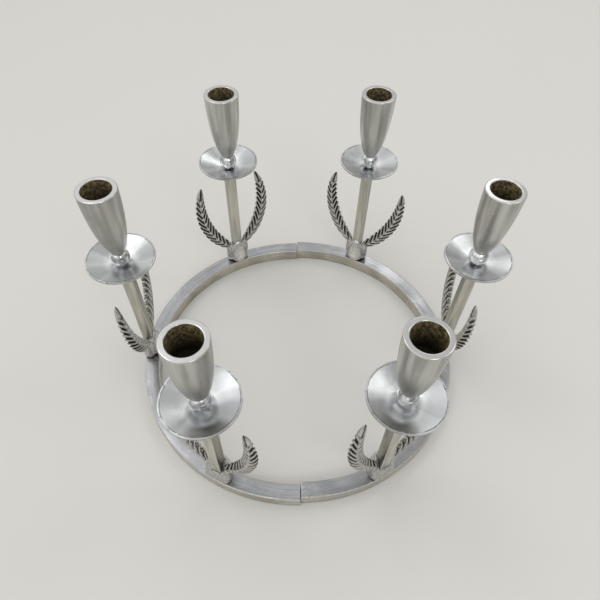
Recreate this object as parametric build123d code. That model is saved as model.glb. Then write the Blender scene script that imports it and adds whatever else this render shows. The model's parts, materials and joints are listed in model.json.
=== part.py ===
from build123d import *
import os
from math import cos, radians, sin, tan

# Six-light candle ring in aluminium, in millimetres, +Z up. The origin is on the table under the
# middle of the ring, +Y points to the back. Two half rings of square bar stand end to end, and each
# carries three posts: a cast foot with two leaf sprays, a square stem, a drip pan, a bead and a cup.

# Half rings
post_radius = 140.0       # middle line of the bar, and the circle that the posts stand on
bar_width = 13.5          # radial width of the bar
bar_height = 13.0
bar_edge = 0.7            # broken edge along the bar
end_straight = 1.8        # straight run past the half circle at each end of a half ring
end_gap = 0.5             # joint between the two half rings
half_slip = 1.0           # each half stands this far along the joint, left half to the front
post_step = 62.5          # angle between neighbouring posts of one half

# Stems
stem_size = 9.0           # side of the square
stem_length = 119.0
stem_corner = 0.6
stem_seat = 4.0           # metal of the cast foot under the stem
socket_clear = 0.2        # between the stem and its square socket, each side

# Cast feet
hub_width = 24.0          # along the ring
hub_depth = 13.6          # across the bar
hub_height = 15.0
hub_round = 4.5           # round upper edge
hub_foot_round = 2.0      # round lower edge, which leaves a crevice on the bar
dome_width = 19.0         # smooth egg-shaped dome on the inner side, along the ring
dome_depth = 12.4         # the same across the bar
dome_inset = 3.0          # centre of the dome, towards the middle of the ring
dome_middle = 11.0        # widest part of the dome above the bar
dome_top = 30.0           # top of the dome above the bar
horn_foot = 7.8           # where a horn leaves the hub, along the ring
horn_foot_radius = 4.2
horn_top_radius = 3.0

# Leaf sprays, drawn in the upright plane along the ring
spray_reach = 9.5         # start of the spray beside the stem
spray_rise = 24.0         # start of the spray above the bar
spray_angle = 45.0        # slope of the spray at its start
spray_bend = 88.0         # radius of its curve
spray_length = 90.5
spray_width = 13.4        # at the fullest place
spray_thick = 7.4         # through the rib
spray_edge = 2.6          # through the edge of a leaflet
# Places along the spray, and the share of its full section there
spray_form = ((0.0, 0.6), (0.12, 0.9), (0.36, 1.0), (0.6, 0.95), (0.8, 0.76), (0.92, 0.46))
leaf_pairs = 11
leaf_start = 4.0          # run of the rib up to the first groove
leaf_angle = 28.0         # between a leaflet and the rib
groove_depth = 2.6        # between two leaflets, at the rib
groove_flank = 26.0       # half the angle of a groove
rib_width = 1.2
blade_length = 13.0       # smooth pointed end of the spray

# Drip pans
pan_radius = 27.2
pan_depth = 6.5
pan_floor = 5.5           # radius of the flat middle
pan_thick = 1.6
pan_lip = 1.3             # flat lip round the edge

# Beads
bead_diameter = 15.5
bead_height = 13.6

# Candle cups
cup_height = 60.0
cup_rim_diameter = 29.4
cup_neck_diameter = 11.0
cup_shoulder = 14.0       # radius that the curve of the wall pulls towards
cup_shoulder_height = 16.0
cup_rim_edge = 0.8
candle_diameter = 21.0    # foot of a household candle
candle_clear = 0.25       # round the candle
bore_depth = 25.0

# Fasteners
stud_diameter = 4.0
stud_in_stem = 12.0
stud_in_cup = 12.0
screw_diameter = 5.0
screw_head_diameter = 9.4
screw_in_stem = 14.0
head_recess = 0.6         # screw head below the underside of the bar
thread_clear = 0.12       # round a thread in its tapped hole
hole_clear = 0.25         # round a fastener in a plain hole
drill_room = 1.0          # free end of a blind hole

bore_radius = candle_diameter / 2 + candle_clear
stud_radius = stud_diameter / 2
screw_radius = screw_diameter / 2
head_radius = screw_head_diameter / 2
stem_base = bar_height + stem_seat
stem_top = stem_base + stem_length
bead_base = stem_top + pan_thick
cup_base = bead_base + bead_height


def column(radius, bottom, top):
    """An upright cylinder on the post's axis."""
    return Pos(0, 0, bottom) * Cylinder(radius, top - bottom, align=(Align.CENTER, Align.CENTER, Align.MIN))


def half_ring(side):
    """One half of the ring: side is -1 for the left half and 1 for the right."""
    near = side * end_gap / 2
    far = side * (end_gap / 2 + end_straight)
    edges = []
    for radius in (post_radius - bar_width / 2, post_radius + bar_width / 2):
        edges.append(Line((near, radius), (far, radius)))
        edges.append(ThreePointArc((far, radius), (far + side * radius, 0), (far, -radius)))
        edges.append(Line((far, -radius), (near, -radius)))
    for y_sign in (-1, 1):
        inner = (near, y_sign * (post_radius - bar_width / 2))
        outer = (near, y_sign * (post_radius + bar_width / 2))
        edges.append(Line(inner, outer))
    bar = extrude(make_face(edges), bar_height)
    bar = fillet(bar.edges().filter_by(Axis.Z, reverse=True), min(bar_edge, bar_width / 4, bar_height / 4))
    return Pos(0, side * half_slip, 0) * bar


def post_places(side):
    """Name and standing place of the three posts of one half, with X pointing away from the centre."""
    word = "left" if side < 0 else "right"
    middle = 180.0 if side < 0 else 0.0
    places = []
    for name, step in (("back_" + word, 1), (word, 0), ("front_" + word, -1)):
        angle = middle + side * step * post_step
        x = side * (end_gap / 2 + end_straight) + post_radius * cos(radians(angle))
        y = side * half_slip + post_radius * sin(radians(angle))
        places.append((name, Pos(x, y, 0) * Rot(0, 0, angle)))
    return places


def spray_point(run):
    """Point of the rib after a given run along its curve."""
    start = radians(spray_angle)
    turn = start + run / spray_bend
    y = spray_reach + spray_bend * (sin(turn) - sin(start))
    z = bar_height + spray_rise + spray_bend * (cos(start) - cos(turn))
    return Vector(0, y, z)


def heading(run, turn=0.0):
    """Direction of the rib after a given run, turned by some degrees in the plane of the spray."""
    aim = radians(spray_angle + turn) + run / spray_bend
    return Vector(0, cos(aim), sin(aim))


def fullness(run):
    """Share of the full section after a given run."""
    places = spray_form + ((1.0, 0.0),)
    share = run / spray_length
    for (low, low_form), (high, high_form) in zip(places, places[1:]):
        if low <= share <= high:
            return low_form + (high_form - low_form) * (share - low) / (high - low)


def lens(run, form):
    """Section of a spray: two shallow arcs with blunt edges."""
    half_width = form * spray_width / 2
    half_thick = form * spray_thick / 2
    half_edge = form * spray_edge / 2
    edges = [
        ThreePointArc((half_edge, -half_width), (half_thick, 0), (half_edge, half_width)),
        Line((half_edge, half_width), (-half_edge, half_width)),
        ThreePointArc((-half_edge, half_width), (-half_thick, 0), (-half_edge, -half_width)),
        Line((-half_edge, -half_width), (half_edge, -half_width)),
    ]
    plane = Plane(origin=spray_point(run), x_dir=(1, 0, 0), z_dir=heading(run))
    return plane * make_face(edges)


def groove(run, side, face):
    """Wedge between two leaflets: side is 1 left of the rib and -1 right, face is 1 outside and -1 inside."""
    form = fullness(run)
    floor = form * spray_thick / 2 - groove_depth
    reach = form * spray_width / 2 / sin(radians(leaf_angle))
    flat = heading(run, side * leaf_angle)
    along = flat - Vector(face * floor / reach, 0, 0)
    start = spray_point(run) + heading(run, side * 90.0) * (rib_width / 2) + Vector(face * floor, 0, 0)
    rise = Vector(face * 2 * spray_thick, 0, 0)
    flank = flat.cross(Vector(1, 0, 0)) * (rise.length * tan(radians(groove_flank)))
    profile = Wire.make_polygon([start, start + rise + flank, start + rise - flank], close=True)
    return Solid.extrude(Face(profile), along * (reach + spray_thick / 2))


def spray():
    """One spray: a lens-shaped body that tapers to a point, with grooves in a herringbone on both faces."""
    sections = [lens(place * spray_length, form) for place, form in spray_form]
    body = loft(sections + [Vertex(*spray_point(spray_length))])
    pitch = (spray_length - blade_length - leaf_start) / (leaf_pairs - 1)
    wedges = []
    for i in range(leaf_pairs):
        for side in (-1, 1):
            for face in (-1, 1):
                wedges.append(groove(leaf_start + i * pitch, side, face))
    return body - wedges


def cast_foot():
    """The casting of one post: hub with its dome, two horns, two sprays, socket and screw hole."""
    hub = extrude(SlotOverall(hub_width, hub_depth, rotation=90), hub_height)
    levels = hub.edges().group_by(Axis.Z)
    hub = fillet(levels[-1], min(hub_round, 0.42 * hub_depth, 0.42 * hub_height))
    hub = fillet(hub.edges().group_by(Axis.Z)[0], min(hub_foot_round, 0.2 * hub_depth, 0.2 * hub_height))
    egg = scale(Sphere(1), by=(dome_depth / 2, dome_width / 2, dome_top - dome_middle))
    room = Box(4 * hub_width, 4 * hub_width, 2 * dome_top, align=(Align.CENTER, Align.CENTER, Align.MIN))
    dome = (Pos(-dome_inset, 0, dome_middle) * egg) & room
    foot = Pos(0, 0, bar_height) * (hub + dome)
    root = spray_point(0.0)
    base = Vector(0, horn_foot, bar_height + horn_foot_radius)
    lean = root - base
    horn_plane = Plane(origin=base, x_dir=(1, 0, 0), z_dir=lean)
    horn = loft([
        horn_plane * Circle(horn_foot_radius),
        horn_plane.offset(lean.length) * Circle(horn_top_radius),
    ])
    one_side = horn + spray()
    foot = foot + one_side + mirror(one_side, about=Plane.XZ)
    side = stem_size + 2 * socket_clear
    socket = Pos(0, 0, stem_base) * Box(
        side, side, hub_height + spray_length, align=(Align.CENTER, Align.CENTER, Align.MIN)
    )
    return foot - socket - column(screw_radius + hole_clear, 0, stem_base)


def stem():
    """Square stem with a tapped hole in each end."""
    bar = extrude(Pos(0, 0, stem_base) * RectangleRounded(stem_size, stem_size, stem_corner), stem_length)
    low = column(screw_radius + thread_clear, stem_base, stem_base + screw_in_stem + drill_room)
    high = column(stud_radius + thread_clear, stem_top - stud_in_stem, stem_top)
    return bar - low - high


def drip_pan():
    """Shallow cone on the end of the stem, with a flat middle under the bead and a flat lip."""
    hole = stud_radius + hole_clear
    edge = pan_thick + pan_depth
    outline = [
        Line((hole, 0), (pan_floor, 0)),
        Line((pan_floor, 0), (pan_radius, edge - pan_thick)),
        Line((pan_radius, edge - pan_thick), (pan_radius, edge)),
        Line((pan_radius, edge), (pan_radius - pan_lip, edge)),
        Line((pan_floor, pan_thick), (pan_radius - pan_lip, edge)),
        Line((pan_floor, pan_thick), (hole, pan_thick)),
        Line((hole, pan_thick), (hole, 0)),
    ]
    return Pos(0, 0, stem_top) * revolve(Plane.XZ * make_face(outline), Axis.Z)


def bead():
    """Polished ball with flat ends between the pan and the cup."""
    ball = Sphere(bead_diameter / 2) & Box(bead_diameter, bead_diameter, bead_height)
    ball = Pos(0, 0, bead_base + bead_height / 2) * ball
    return ball - column(stud_radius + hole_clear, bead_base, cup_base)


def candle_cup():
    """Cup with a curved tapering wall, a straight bore for the candle and a tapped hole below."""
    neck = cup_neck_diameter / 2
    rim = cup_rim_diameter / 2
    tap = stud_radius + thread_clear
    tap_top = stud_in_cup + drill_room
    floor = cup_height - bore_depth
    outline = [
        Line((tap, 0), (neck, 0)),
        Bezier((neck, 0), (cup_shoulder, cup_shoulder_height), (rim, cup_height)),
        Line((rim, cup_height), (bore_radius, cup_height)),
        Line((bore_radius, cup_height), (bore_radius, floor)),
        Line((bore_radius, floor), (0, floor)),
        Line((0, floor), (0, tap_top)),
        Line((0, tap_top), (tap, tap_top)),
        Line((tap, tap_top), (tap, 0)),
    ]
    cup = revolve(Plane.XZ * make_face(outline), Axis.Z)
    wall = rim - bore_radius
    cup = fillet(cup.edges().group_by(Axis.Z)[-1], min(cup_rim_edge, 0.4 * wall))
    return Pos(0, 0, cup_base) * cup


def cup_stud():
    """Stud that draws cup, bead and pan down on the stem."""
    return column(stud_radius, stem_top - stud_in_stem, cup_base + stud_in_cup)


def screw_seat(extra, bottom):
    """Countersunk head and shank from below, larger by extra all round."""
    wide = head_radius + extra + head_recess - bottom
    narrow = screw_radius + extra
    low = (Align.CENTER, Align.CENTER, Align.MIN)
    return Pos(0, 0, bottom) * Cone(wide, narrow, wide - narrow, align=low)


def post_screw():
    """Countersunk screw from under the bar through the cast foot into the stem."""
    return screw_seat(0, head_recess) + column(screw_radius, head_recess, stem_base + screw_in_stem)


def bar_hole():
    """Countersunk hole through the bar under one post."""
    return screw_seat(hole_clear, 0) + column(screw_radius + hole_clear, 0, bar_height)


os.makedirs("parts", exist_ok=True)

pieces = {
    "cast_foot": cast_foot(),
    "stem": stem(),
    "drip_pan": drip_pan(),
    "bead": bead(),
    "candle_cup": candle_cup(),
}
stud = cup_stud()
screw = post_screw()
hole = bar_hole()

for side, word in ((-1, "left"), (1, "right")):
    places = post_places(side)
    ring = half_ring(side)
    for name, place in places:
        ring = ring - place * hole
        for piece, shape in pieces.items():
            export_step(place * shape, f"parts/{piece}_{name}.step")
    export_step(ring, f"parts/half_ring_{word}.step")
    export_step(Compound([place * stud for name, place in places]), f"parts/cup_studs_{word}.step")
    export_step(Compound([place * screw for name, place in places]), f"parts/post_screws_{word}.step")
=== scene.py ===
import json
import math

import bmesh
import bpy
from bpy.props import FloatProperty, FloatVectorProperty, PointerProperty
from mathutils import Matrix, Vector, noise


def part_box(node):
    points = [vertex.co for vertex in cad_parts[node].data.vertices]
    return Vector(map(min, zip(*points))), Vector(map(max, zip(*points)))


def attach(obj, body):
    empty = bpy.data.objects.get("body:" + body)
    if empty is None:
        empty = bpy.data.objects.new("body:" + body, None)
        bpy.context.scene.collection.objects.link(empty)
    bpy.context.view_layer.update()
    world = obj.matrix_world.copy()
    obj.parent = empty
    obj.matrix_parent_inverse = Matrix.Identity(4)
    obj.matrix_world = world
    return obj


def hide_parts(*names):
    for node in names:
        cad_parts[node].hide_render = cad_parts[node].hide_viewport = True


bl_info = {
    "name": "Candle Ring Dresser",
    "version": (1, 0, 0),
    "blender": (4, 5, 0),
    "location": "View3D > Sidebar > Candle Ring",
    "description": "Dresses the six-light aluminium candle ring and sets its stage",
    "category": "Object",
}

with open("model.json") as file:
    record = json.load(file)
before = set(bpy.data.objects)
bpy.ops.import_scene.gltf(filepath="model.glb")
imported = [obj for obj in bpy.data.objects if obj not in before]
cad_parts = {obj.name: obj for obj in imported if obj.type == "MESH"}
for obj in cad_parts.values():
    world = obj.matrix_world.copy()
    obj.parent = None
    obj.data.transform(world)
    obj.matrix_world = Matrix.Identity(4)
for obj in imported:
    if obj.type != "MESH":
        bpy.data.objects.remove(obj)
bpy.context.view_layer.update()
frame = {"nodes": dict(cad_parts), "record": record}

# A millimetre, and the names of the posts with the half of the ring that carries them
MM = 0.001
POSTS = {
    "back_left": "left_half",
    "left": "left_half",
    "front_left": "left_half",
    "back_right": "right_half",
    "right": "right_half",
    "front_right": "right_half",
}

# How far the tips of the two sprays of each post stand from their drawn place, in millimetres: away from
# the middle of the ring, away from the stem, and up. The clockwise spray, seen from above, comes first.
TIP_BENDS = {
    "back_left": ((2.9, -5.5, 0.6), (0.3, -2.5, 1.1)),
    "left": ((-0.8, 1.0, 0.4), (3.2, -0.3, 1.5)),
    "front_left": ((0.6, -0.8, 0.5), (0.3, -2.2, 0.5)),
    "back_right": ((-1.0, 5.4, -2.7), (-0.4, -0.7, -0.9)),
    "right": ((-2.3, -1.2, -0.2), (0.9, 0.6, -0.5)),
    "front_right": ((-2.7, -5.4, 2.7), (0.5, -0.9, 0.3)),
}

# Faces along and round a spray, and how far and how slanted its root runs down into the horn
RIB_STEPS = 330
ROUND_STEPS = 48
ROOT_RUN = 12 * MM
ROOT_TAPER = 0.25
ROOT_LEAN = 0.25

# The smooth blade at the tip of a spray: how the leaflets fade into it, its film and its crease
BLADE_FADE = 5 * MM
BLADE_FILM = 0.32
BLADE_CREASE = 0.36
CREASE_WIDTH = 0.8 * MM

# Lumps of the hub in millimetres: their middle outwards, along the ring and above the bar, half their size
# the same three ways, and their reach below the middle
COLLAR = ((0.8, 0.0, 7.5), (7.2, 11.8, 10.5), 9.0)
SHOULDER = ((1.8, 6.8, 6.5), (5.4, 5.2, 8.5), 8.5)
DOME = ((-3.6, 0.0, 9.0), (6.8, 9.6, 21.0), 10.5)

# The horn from the hub up to a spray: its foot along the ring and above the bar, its radius at the foot and
# at the spray, how much taller than wide each of its lumps is, and their count
HORN_FOOT = 8.0 * MM
HORN_BASE = 8.5 * MM
HORN_RADII = (4.2, 3.1)
HORN_STRETCH = 1.35
HORN_STEPS = 12

# Height of the hub above the bar, and half the height over which its finish passes into that of the sprays
HUB_TOP = 22 * MM
HUB_FADE = 6 * MM

# The smooth dome on the inner side of the hub, rubbed smoother and with a painted highlight: where it starts,
# how it fades, its middle and its spread
DOME_START = -2.0 * MM
DOME_FADE = 4 * MM
DOME_MIDDLE = 11 * MM
DOME_WIDTH = 7.0 * MM
DOME_HEIGHT = 13 * MM

# The uneven cast skin: where it ends above the bar and on the inner side, how it fades, how much of it is
# left on the dome, the size of its lumps and the share of the small ones
SKIN_TOP = 27 * MM
SKIN_FADE = 8 * MM
SKIN_SEAT = 1.5 * MM
SKIN_INNER = -3 * MM
SKIN_SPREAD = 5 * MM
DOME_SKIN = 0.40
LARGE_LUMP = 3.2 * MM
SMALL_LUMP = 1.5 * MM
SMALL_SHARE = 0.4

# Room round the stem in its socket, and a height above the whole casting, up to which the socket is cut
SOCKET_GAP = 0.2 * MM
SOCKET_TOP = 200 * MM

# Flat lip of a pan, and how far the bore's crust climbs over its edge
PAN_LIP = 1.3 * MM
BORE_MARGIN = 0.22 * MM

# Panels of soft light, with their place, width and height, and the point that they face
PANELS = {
    "key": ((-0.68, 0.40, 1.45), (0.55, 0.40)),
    "back": ((0.98, 0.37, 1.44), (0.45, 0.40)),
    "rear": ((0.50, 1.25, 1.30), (0.60, 0.40)),
    "fill": ((0.50, -1.10, 1.20), (0.50, 0.40)),
}
PANEL_AIM = (0, 0, 100 * MM)

# Kinds of sockets of the shader groups
NUMBER = "NodeSocketFloat"
VECTOR = "NodeSocketVector"


class CastFootSizes(bpy.types.PropertyGroup):
    """Sizes of one cast foot, in the post's own frame."""

    spray_reach: FloatProperty(
        name="Spray reach", description="Start of a spray beside the stem",
        default=9.5 * MM, unit="LENGTH")
    spray_rise: FloatProperty(
        name="Spray rise", description="Start of a spray above the bar",
        default=24 * MM, unit="LENGTH")
    spray_slope: FloatProperty(
        name="Spray slope", description="Slope of a spray at its start",
        default=math.radians(45), subtype="ANGLE")
    spray_bend: FloatProperty(
        name="Spray bend", description="Radius of the curve of a spray",
        default=88 * MM, unit="LENGTH")
    spray_length: FloatProperty(
        name="Spray length", description="Length of a spray along its rib",
        default=90.5 * MM, unit="LENGTH")
    spray_width: FloatProperty(
        name="Spray width", description="Width at the fullest place",
        default=13.4 * MM, unit="LENGTH")
    spray_thick: FloatProperty(
        name="Spray thickness", description="Thickness through the rib",
        default=7.4 * MM, unit="LENGTH")
    leaf_pitch: FloatProperty(
        name="Leaflet pitch", description="Rib between one pair of leaflets and the next",
        default=7.0 * MM, unit="LENGTH")
    leaf_angle: FloatProperty(
        name="Leaflet angle", description="Between a leaflet and the rib",
        default=math.radians(28), subtype="ANGLE")
    groove_depth: FloatProperty(
        name="Groove depth", description="Depth between two leaflets",
        default=2.3 * MM, unit="LENGTH")
    rib_width: FloatProperty(
        name="Rib width", description="Width of the raised rib",
        default=0.55 * MM, unit="LENGTH")
    blade_length: FloatProperty(
        name="Blade length", description="Smooth pointed end of a spray",
        default=16 * MM, unit="LENGTH")
    pit_depth: FloatProperty(
        name="Pit depth", description="Unevenness of the cast skin on the hub",
        default=0.4 * MM, unit="LENGTH")
    skin_step: FloatProperty(
        name="Skin step", description="Size of the faces on the hub",
        default=0.55 * MM, unit="LENGTH")


class FinishColours(bpy.types.PropertyGroup):
    """Colours of the metal, its wear, the patina, the painted reflections, highlights and shade, and the
    floor.
    """

    cup_metal: FloatVectorProperty(
        name="Cup metal", description="Brushed wall of the candle cups",
        default=(0.56, 0.555, 0.52), subtype="COLOR")
    cup_streak: FloatVectorProperty(
        name="Cup streak", description="Dark streaks in the brushed wall",
        default=(0.36, 0.35, 0.32), subtype="COLOR")
    cup_rim: FloatVectorProperty(
        name="Cup rim", description="Turned rim of the candle cups",
        default=(0.58, 0.575, 0.562), subtype="COLOR")
    cup_scratch: FloatVectorProperty(
        name="Cup scratch", description="Scratches on the candle cups",
        default=(0.75, 0.75, 0.74), subtype="COLOR")
    bore_crust: FloatVectorProperty(
        name="Bore crust", description="Dark cast skin inside the cups",
        default=(0.210, 0.165, 0.078), subtype="COLOR")
    pan_metal: FloatVectorProperty(
        name="Pan metal", description="Polished drip pans",
        default=(0.545, 0.556, 0.556), subtype="COLOR")
    pan_scratch: FloatVectorProperty(
        name="Pan scratch", description="Scratches on the drip pans",
        default=(0.42, 0.43, 0.45), subtype="COLOR")
    bead_metal: FloatVectorProperty(
        name="Bead metal", description="Mirror-polished beads",
        default=(0.72, 0.725, 0.73), subtype="COLOR")
    stem_metal: FloatVectorProperty(
        name="Stem metal", description="Satin stems",
        default=(0.60, 0.58, 0.505), subtype="COLOR")
    stem_patch: FloatVectorProperty(
        name="Stem patch", description="Greyer patches on the stems",
        default=(0.55, 0.54, 0.52), subtype="COLOR")
    stem_streak: FloatVectorProperty(
        name="Stem streak", description="Dark streaks along the stems",
        default=(0.34, 0.32, 0.28), subtype="COLOR")
    # Painted shade over the faces of the stems that look left and right.
    stem_side_shade: FloatVectorProperty(
        name="Stem dull", description="Tint over the faces that look left and right",
        default=(0.66, 0.655, 0.645), subtype="COLOR")
    # Painted highlight along the corners of the stems.
    stem_edge_highlight: FloatVectorProperty(
        name="Stem edge", description="Rubbed corners of the stems",
        default=(0.86, 0.85, 0.82), subtype="COLOR")
    # Painted reflection: the top of the bar is kept darker and bluer than its sides.
    bar_top_metal_and_reflection: FloatVectorProperty(
        name="Bar metal", description="Rubbed top of the bar",
        default=(0.385, 0.39, 0.40), subtype="COLOR")
    # Painted reflection: the sides of the bar take the warm tone of the floor that they face.
    bar_side_metal_and_reflection: FloatVectorProperty(
        name="Bar side", description="Warmer sides of the bar",
        default=(0.68, 0.645, 0.575), subtype="COLOR")
    bar_dull: FloatVectorProperty(
        name="Bar dull", description="Tint over the dull streaks of the bar",
        default=(0.78, 0.77, 0.75), subtype="COLOR")
    bar_scratch: FloatVectorProperty(
        name="Bar scratch", description="Scratches on the bar",
        default=(0.70, 0.70, 0.70), subtype="COLOR")
    # Painted highlight along the rounded edges of the bar.
    bar_edge_highlight: FloatVectorProperty(
        name="Bar edge", description="Rubbed edges of the bar",
        default=(0.88, 0.88, 0.87), subtype="COLOR")
    cast_metal: FloatVectorProperty(
        name="Cast metal", description="Rubbed ridges of the cast feet",
        default=(0.64, 0.63, 0.61), subtype="COLOR")
    # Real patina in the grooves of the cast feet, and also the colour of the painted shade in crevices and
    # where parts meet.
    patina_and_shade: FloatVectorProperty(
        name="Patina", description="Dark film in the grooves",
        default=(0.020, 0.018, 0.014), subtype="COLOR")
    stain: FloatVectorProperty(
        name="Stain", description="Brown edge of the patina",
        default=(0.21, 0.18, 0.125), subtype="COLOR")
    screw_steel: FloatVectorProperty(
        name="Screw steel", description="Studs and screws",
        default=(0.48, 0.47, 0.45), subtype="COLOR")
    floor: FloatVectorProperty(
        name="Floor", description="Pale plain floor",
        default=(0.697, 0.687, 0.648), subtype="COLOR")


class StageSettings(bpy.types.PropertyGroup):
    """Place of the camera, strength of the lights and colours of the sky."""

    eye: FloatVectorProperty(
        name="Eye", description="Place of the camera",
        default=(-10.983 * MM, -282.055 * MM, 442.308 * MM), subtype="TRANSLATION", unit="LENGTH")
    yaw: FloatProperty(
        name="Yaw", description="Turn of the view to the right", default=0.03911, subtype="ANGLE")
    pitch: FloatProperty(
        name="Pitch", description="Tilt of the view downwards", default=0.89674, subtype="ANGLE")
    roll: FloatProperty(
        name="Roll", description="Turn of the camera about its view", default=0.03095, subtype="ANGLE")
    sensor: FloatProperty(
        name="Sensor", description="Width of the camera's frame in millimetres", default=36)
    lens: FloatProperty(
        name="Lens", description="Focal length in millimetres on that frame", default=30.96)
    nearest: FloatProperty(
        name="Nearest", description="Where the camera starts to see", default=10 * MM, unit="LENGTH")
    floor_size: FloatProperty(
        name="Floor size", description="Side of the floor", default=6.0, unit="LENGTH")
    key_power: FloatProperty(
        name="Key power", description="Watts of the wide panel above the back left", default=1.6)
    back_power: FloatProperty(
        name="Back power", description="Watts of the panel above the back right", default=1.1)
    rear_power: FloatProperty(
        name="Rear power", description="Watts of the panel far behind the ring", default=1.02)
    fill_power: FloatProperty(
        name="Fill power", description="Watts of the panel beside the camera", default=2.5)
    sky: FloatProperty(
        name="Sky", description="Strength of the even light from all sides", default=0.90)
    sky_low: FloatVectorProperty(
        name="Sky low", description="Light from the horizon", default=(0.58, 0.57, 0.55), subtype="COLOR")
    sky_high: FloatVectorProperty(
        name="Sky high", description="Light from above", default=(1.0, 1.0, 1.0), subtype="COLOR")
    sky_left: FloatVectorProperty(
        name="Sky left", description="Tint of the light from the left",
        default=(1.20, 1.205, 1.22), subtype="COLOR")
    sky_right: FloatVectorProperty(
        name="Sky right", description="Tint of the light from the right",
        default=(0.76, 0.76, 0.76), subtype="COLOR")


def ring_centre(half):
    """Middle, on the floor, of the circle that the left or right half ring is bent to."""
    low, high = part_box("half_ring_" + half)
    outer_radius = (high.y - low.y) / 2
    middle_x = low.x + outer_radius if half == "left" else high.x - outer_radius
    return Vector((middle_x, (low.y + high.y) / 2, 0))


def post_foot(post):
    """Standing place of a post on the floor, under the middle of its stem."""
    low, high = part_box("stem_" + post)
    return Vector(((low.x + high.x) / 2, (low.y + high.y) / 2, 0))


def post_frame(post):
    """Standing place of a post, with X pointing away from the middle of its half ring."""
    foot = post_foot(post)
    outward = foot - ring_centre(POSTS[post].removesuffix("_half"))
    return Matrix.Translation(foot) @ Matrix.Rotation(math.atan2(outward.y, outward.x), 4, "Z")


def node_names(piece):
    """CAD nodes of one kind of piece, one for each post."""
    return [piece + "_" + post for post in POSTS]


def share_of(value):
    """A value kept between 0 and 1."""
    return min(1.0, max(0.0, value))


def feed(tree, socket, value):
    """Links a socket from another one, or sets its value. None leaves it as it is."""
    if isinstance(value, bpy.types.NodeSocket):
        tree.links.new(value, socket)
    elif value is not None:
        socket.default_value = value


def place(tree, kind, settings=None, *inputs, **named):
    """Adds a shader node and feeds its inputs, in their order or by name."""
    node = tree.nodes.new(kind)
    for name, value in (settings or {}).items():
        setattr(node, name, value)
    for socket, value in zip(node.inputs, inputs):
        feed(tree, socket, value)
    for name, value in named.items():
        feed(tree, node.inputs[name.replace("_", " ")], value)
    return node


def math_node(tree, operation, *inputs):
    """Output of one Math node."""
    return place(tree, "ShaderNodeMath", {"operation": operation}, *inputs).outputs[0]


def times(tree, value, share):
    """A value made larger or smaller."""
    return math_node(tree, "MULTIPLY", value, share)


def add_share(tree, base, value, share):
    """A base with a share of a value added to it."""
    return math_node(tree, "MULTIPLY_ADD", value, share, base)


def vector_node(tree, operation, *inputs):
    """Vector output of one Vector Math node."""
    return place(tree, "ShaderNodeVectorMath", {"operation": operation}, *inputs).outputs["Vector"]


def vector_value(tree, operation, *inputs):
    """Number output of one Vector Math node."""
    return place(tree, "ShaderNodeVectorMath", {"operation": operation}, *inputs).outputs["Value"]


def vector_parts(tree, vector):
    """The X, Y and Z of a vector."""
    return place(tree, "ShaderNodeSeparateXYZ", None, vector).outputs


def join_parts(tree, x, y, z):
    """A vector of three values."""
    return place(tree, "ShaderNodeCombineXYZ", None, x, y, z).outputs[0]


def smooth_step(tree, value, low, high):
    """Smooth share from 0 at low to 1 at high."""
    settings = {"interpolation_type": "SMOOTHSTEP"}
    return place(tree, "ShaderNodeMapRange", settings, value, low, high).outputs[0]


def noise_node(tree, vector, scale, detail=2.0, roughness=0.5):
    """Value of a noise texture."""
    return place(
        tree, "ShaderNodeTexNoise", None,
        Vector=vector, Scale=scale, Detail=detail, Roughness=roughness).outputs[0]


def mix_colour(tree, share, first, second, blend="MIX"):
    """Colour between two colours."""
    node = place(tree, "ShaderNodeMix", {"data_type": "RGBA", "blend_type": blend}, share)
    for socket, value in ((node.inputs[6], first), (node.inputs[7], second)):
        feed(tree, socket, value if isinstance(value, bpy.types.NodeSocket) else (*value, 1))
    return node.outputs[2]


def scale_colour(colour, share):
    """A colour made lighter or darker."""
    return tuple(min(1.0, part * share) for part in colour)


def shades(tree, share, colour, dark, light):
    """Colour between a darker and a lighter shade of one colour."""
    return mix_colour(tree, share, scale_colour(colour, dark), scale_colour(colour, light))


def coordinates(tree, kind):
    """Texture coordinates of the piece: Object in metres, Generated across its own box, or its Normal."""
    return place(tree, "ShaderNodeTexCoord").outputs[kind]


def attribute(tree, name):
    """Value that a mesh keeps at its points."""
    return place(tree, "ShaderNodeAttribute", {"attribute_name": name}).outputs["Fac"]


def new_group(name, inputs, outputs):
    """New shader node group with named sockets: its tree, and what the group is given."""
    tree = bpy.data.node_groups.new(name, "ShaderNodeTree")
    for socket, value in inputs.items():
        kind = NUMBER if isinstance(value, float) else VECTOR
        tree.interface.new_socket(socket, in_out="INPUT", socket_type=kind).default_value = value
    for socket, kind in outputs.items():
        tree.interface.new_socket(socket, in_out="OUTPUT", socket_type=kind)
    return tree, tree.nodes.new("NodeGroupInput").outputs


def build_satin_grain(name):
    """Streaks along one direction, and slow patches, for brushed and rubbed metal."""
    tree, given = new_group(
        name,
        {"Position": (0, 0, 0), "Stretch": (1, 1, 1), "Fineness": 900.0, "Patch scale": 60.0},
        {"Streak": NUMBER, "Patch": NUMBER})
    stretched = vector_node(tree, "MULTIPLY", given["Position"], given["Stretch"])
    fine = noise_node(tree, stretched, given["Fineness"], 3.0, 0.6)
    coarse = noise_node(tree, stretched, times(tree, given["Fineness"], 0.22))
    streak = add_share(tree, times(tree, coarse, 0.45), fine, 0.55)
    patch = noise_node(tree, given["Position"], given["Patch scale"], 3.0, 0.55)
    place(tree, "NodeGroupOutput", None, streak, smooth_step(tree, patch, 0.32, 0.68))


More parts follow.
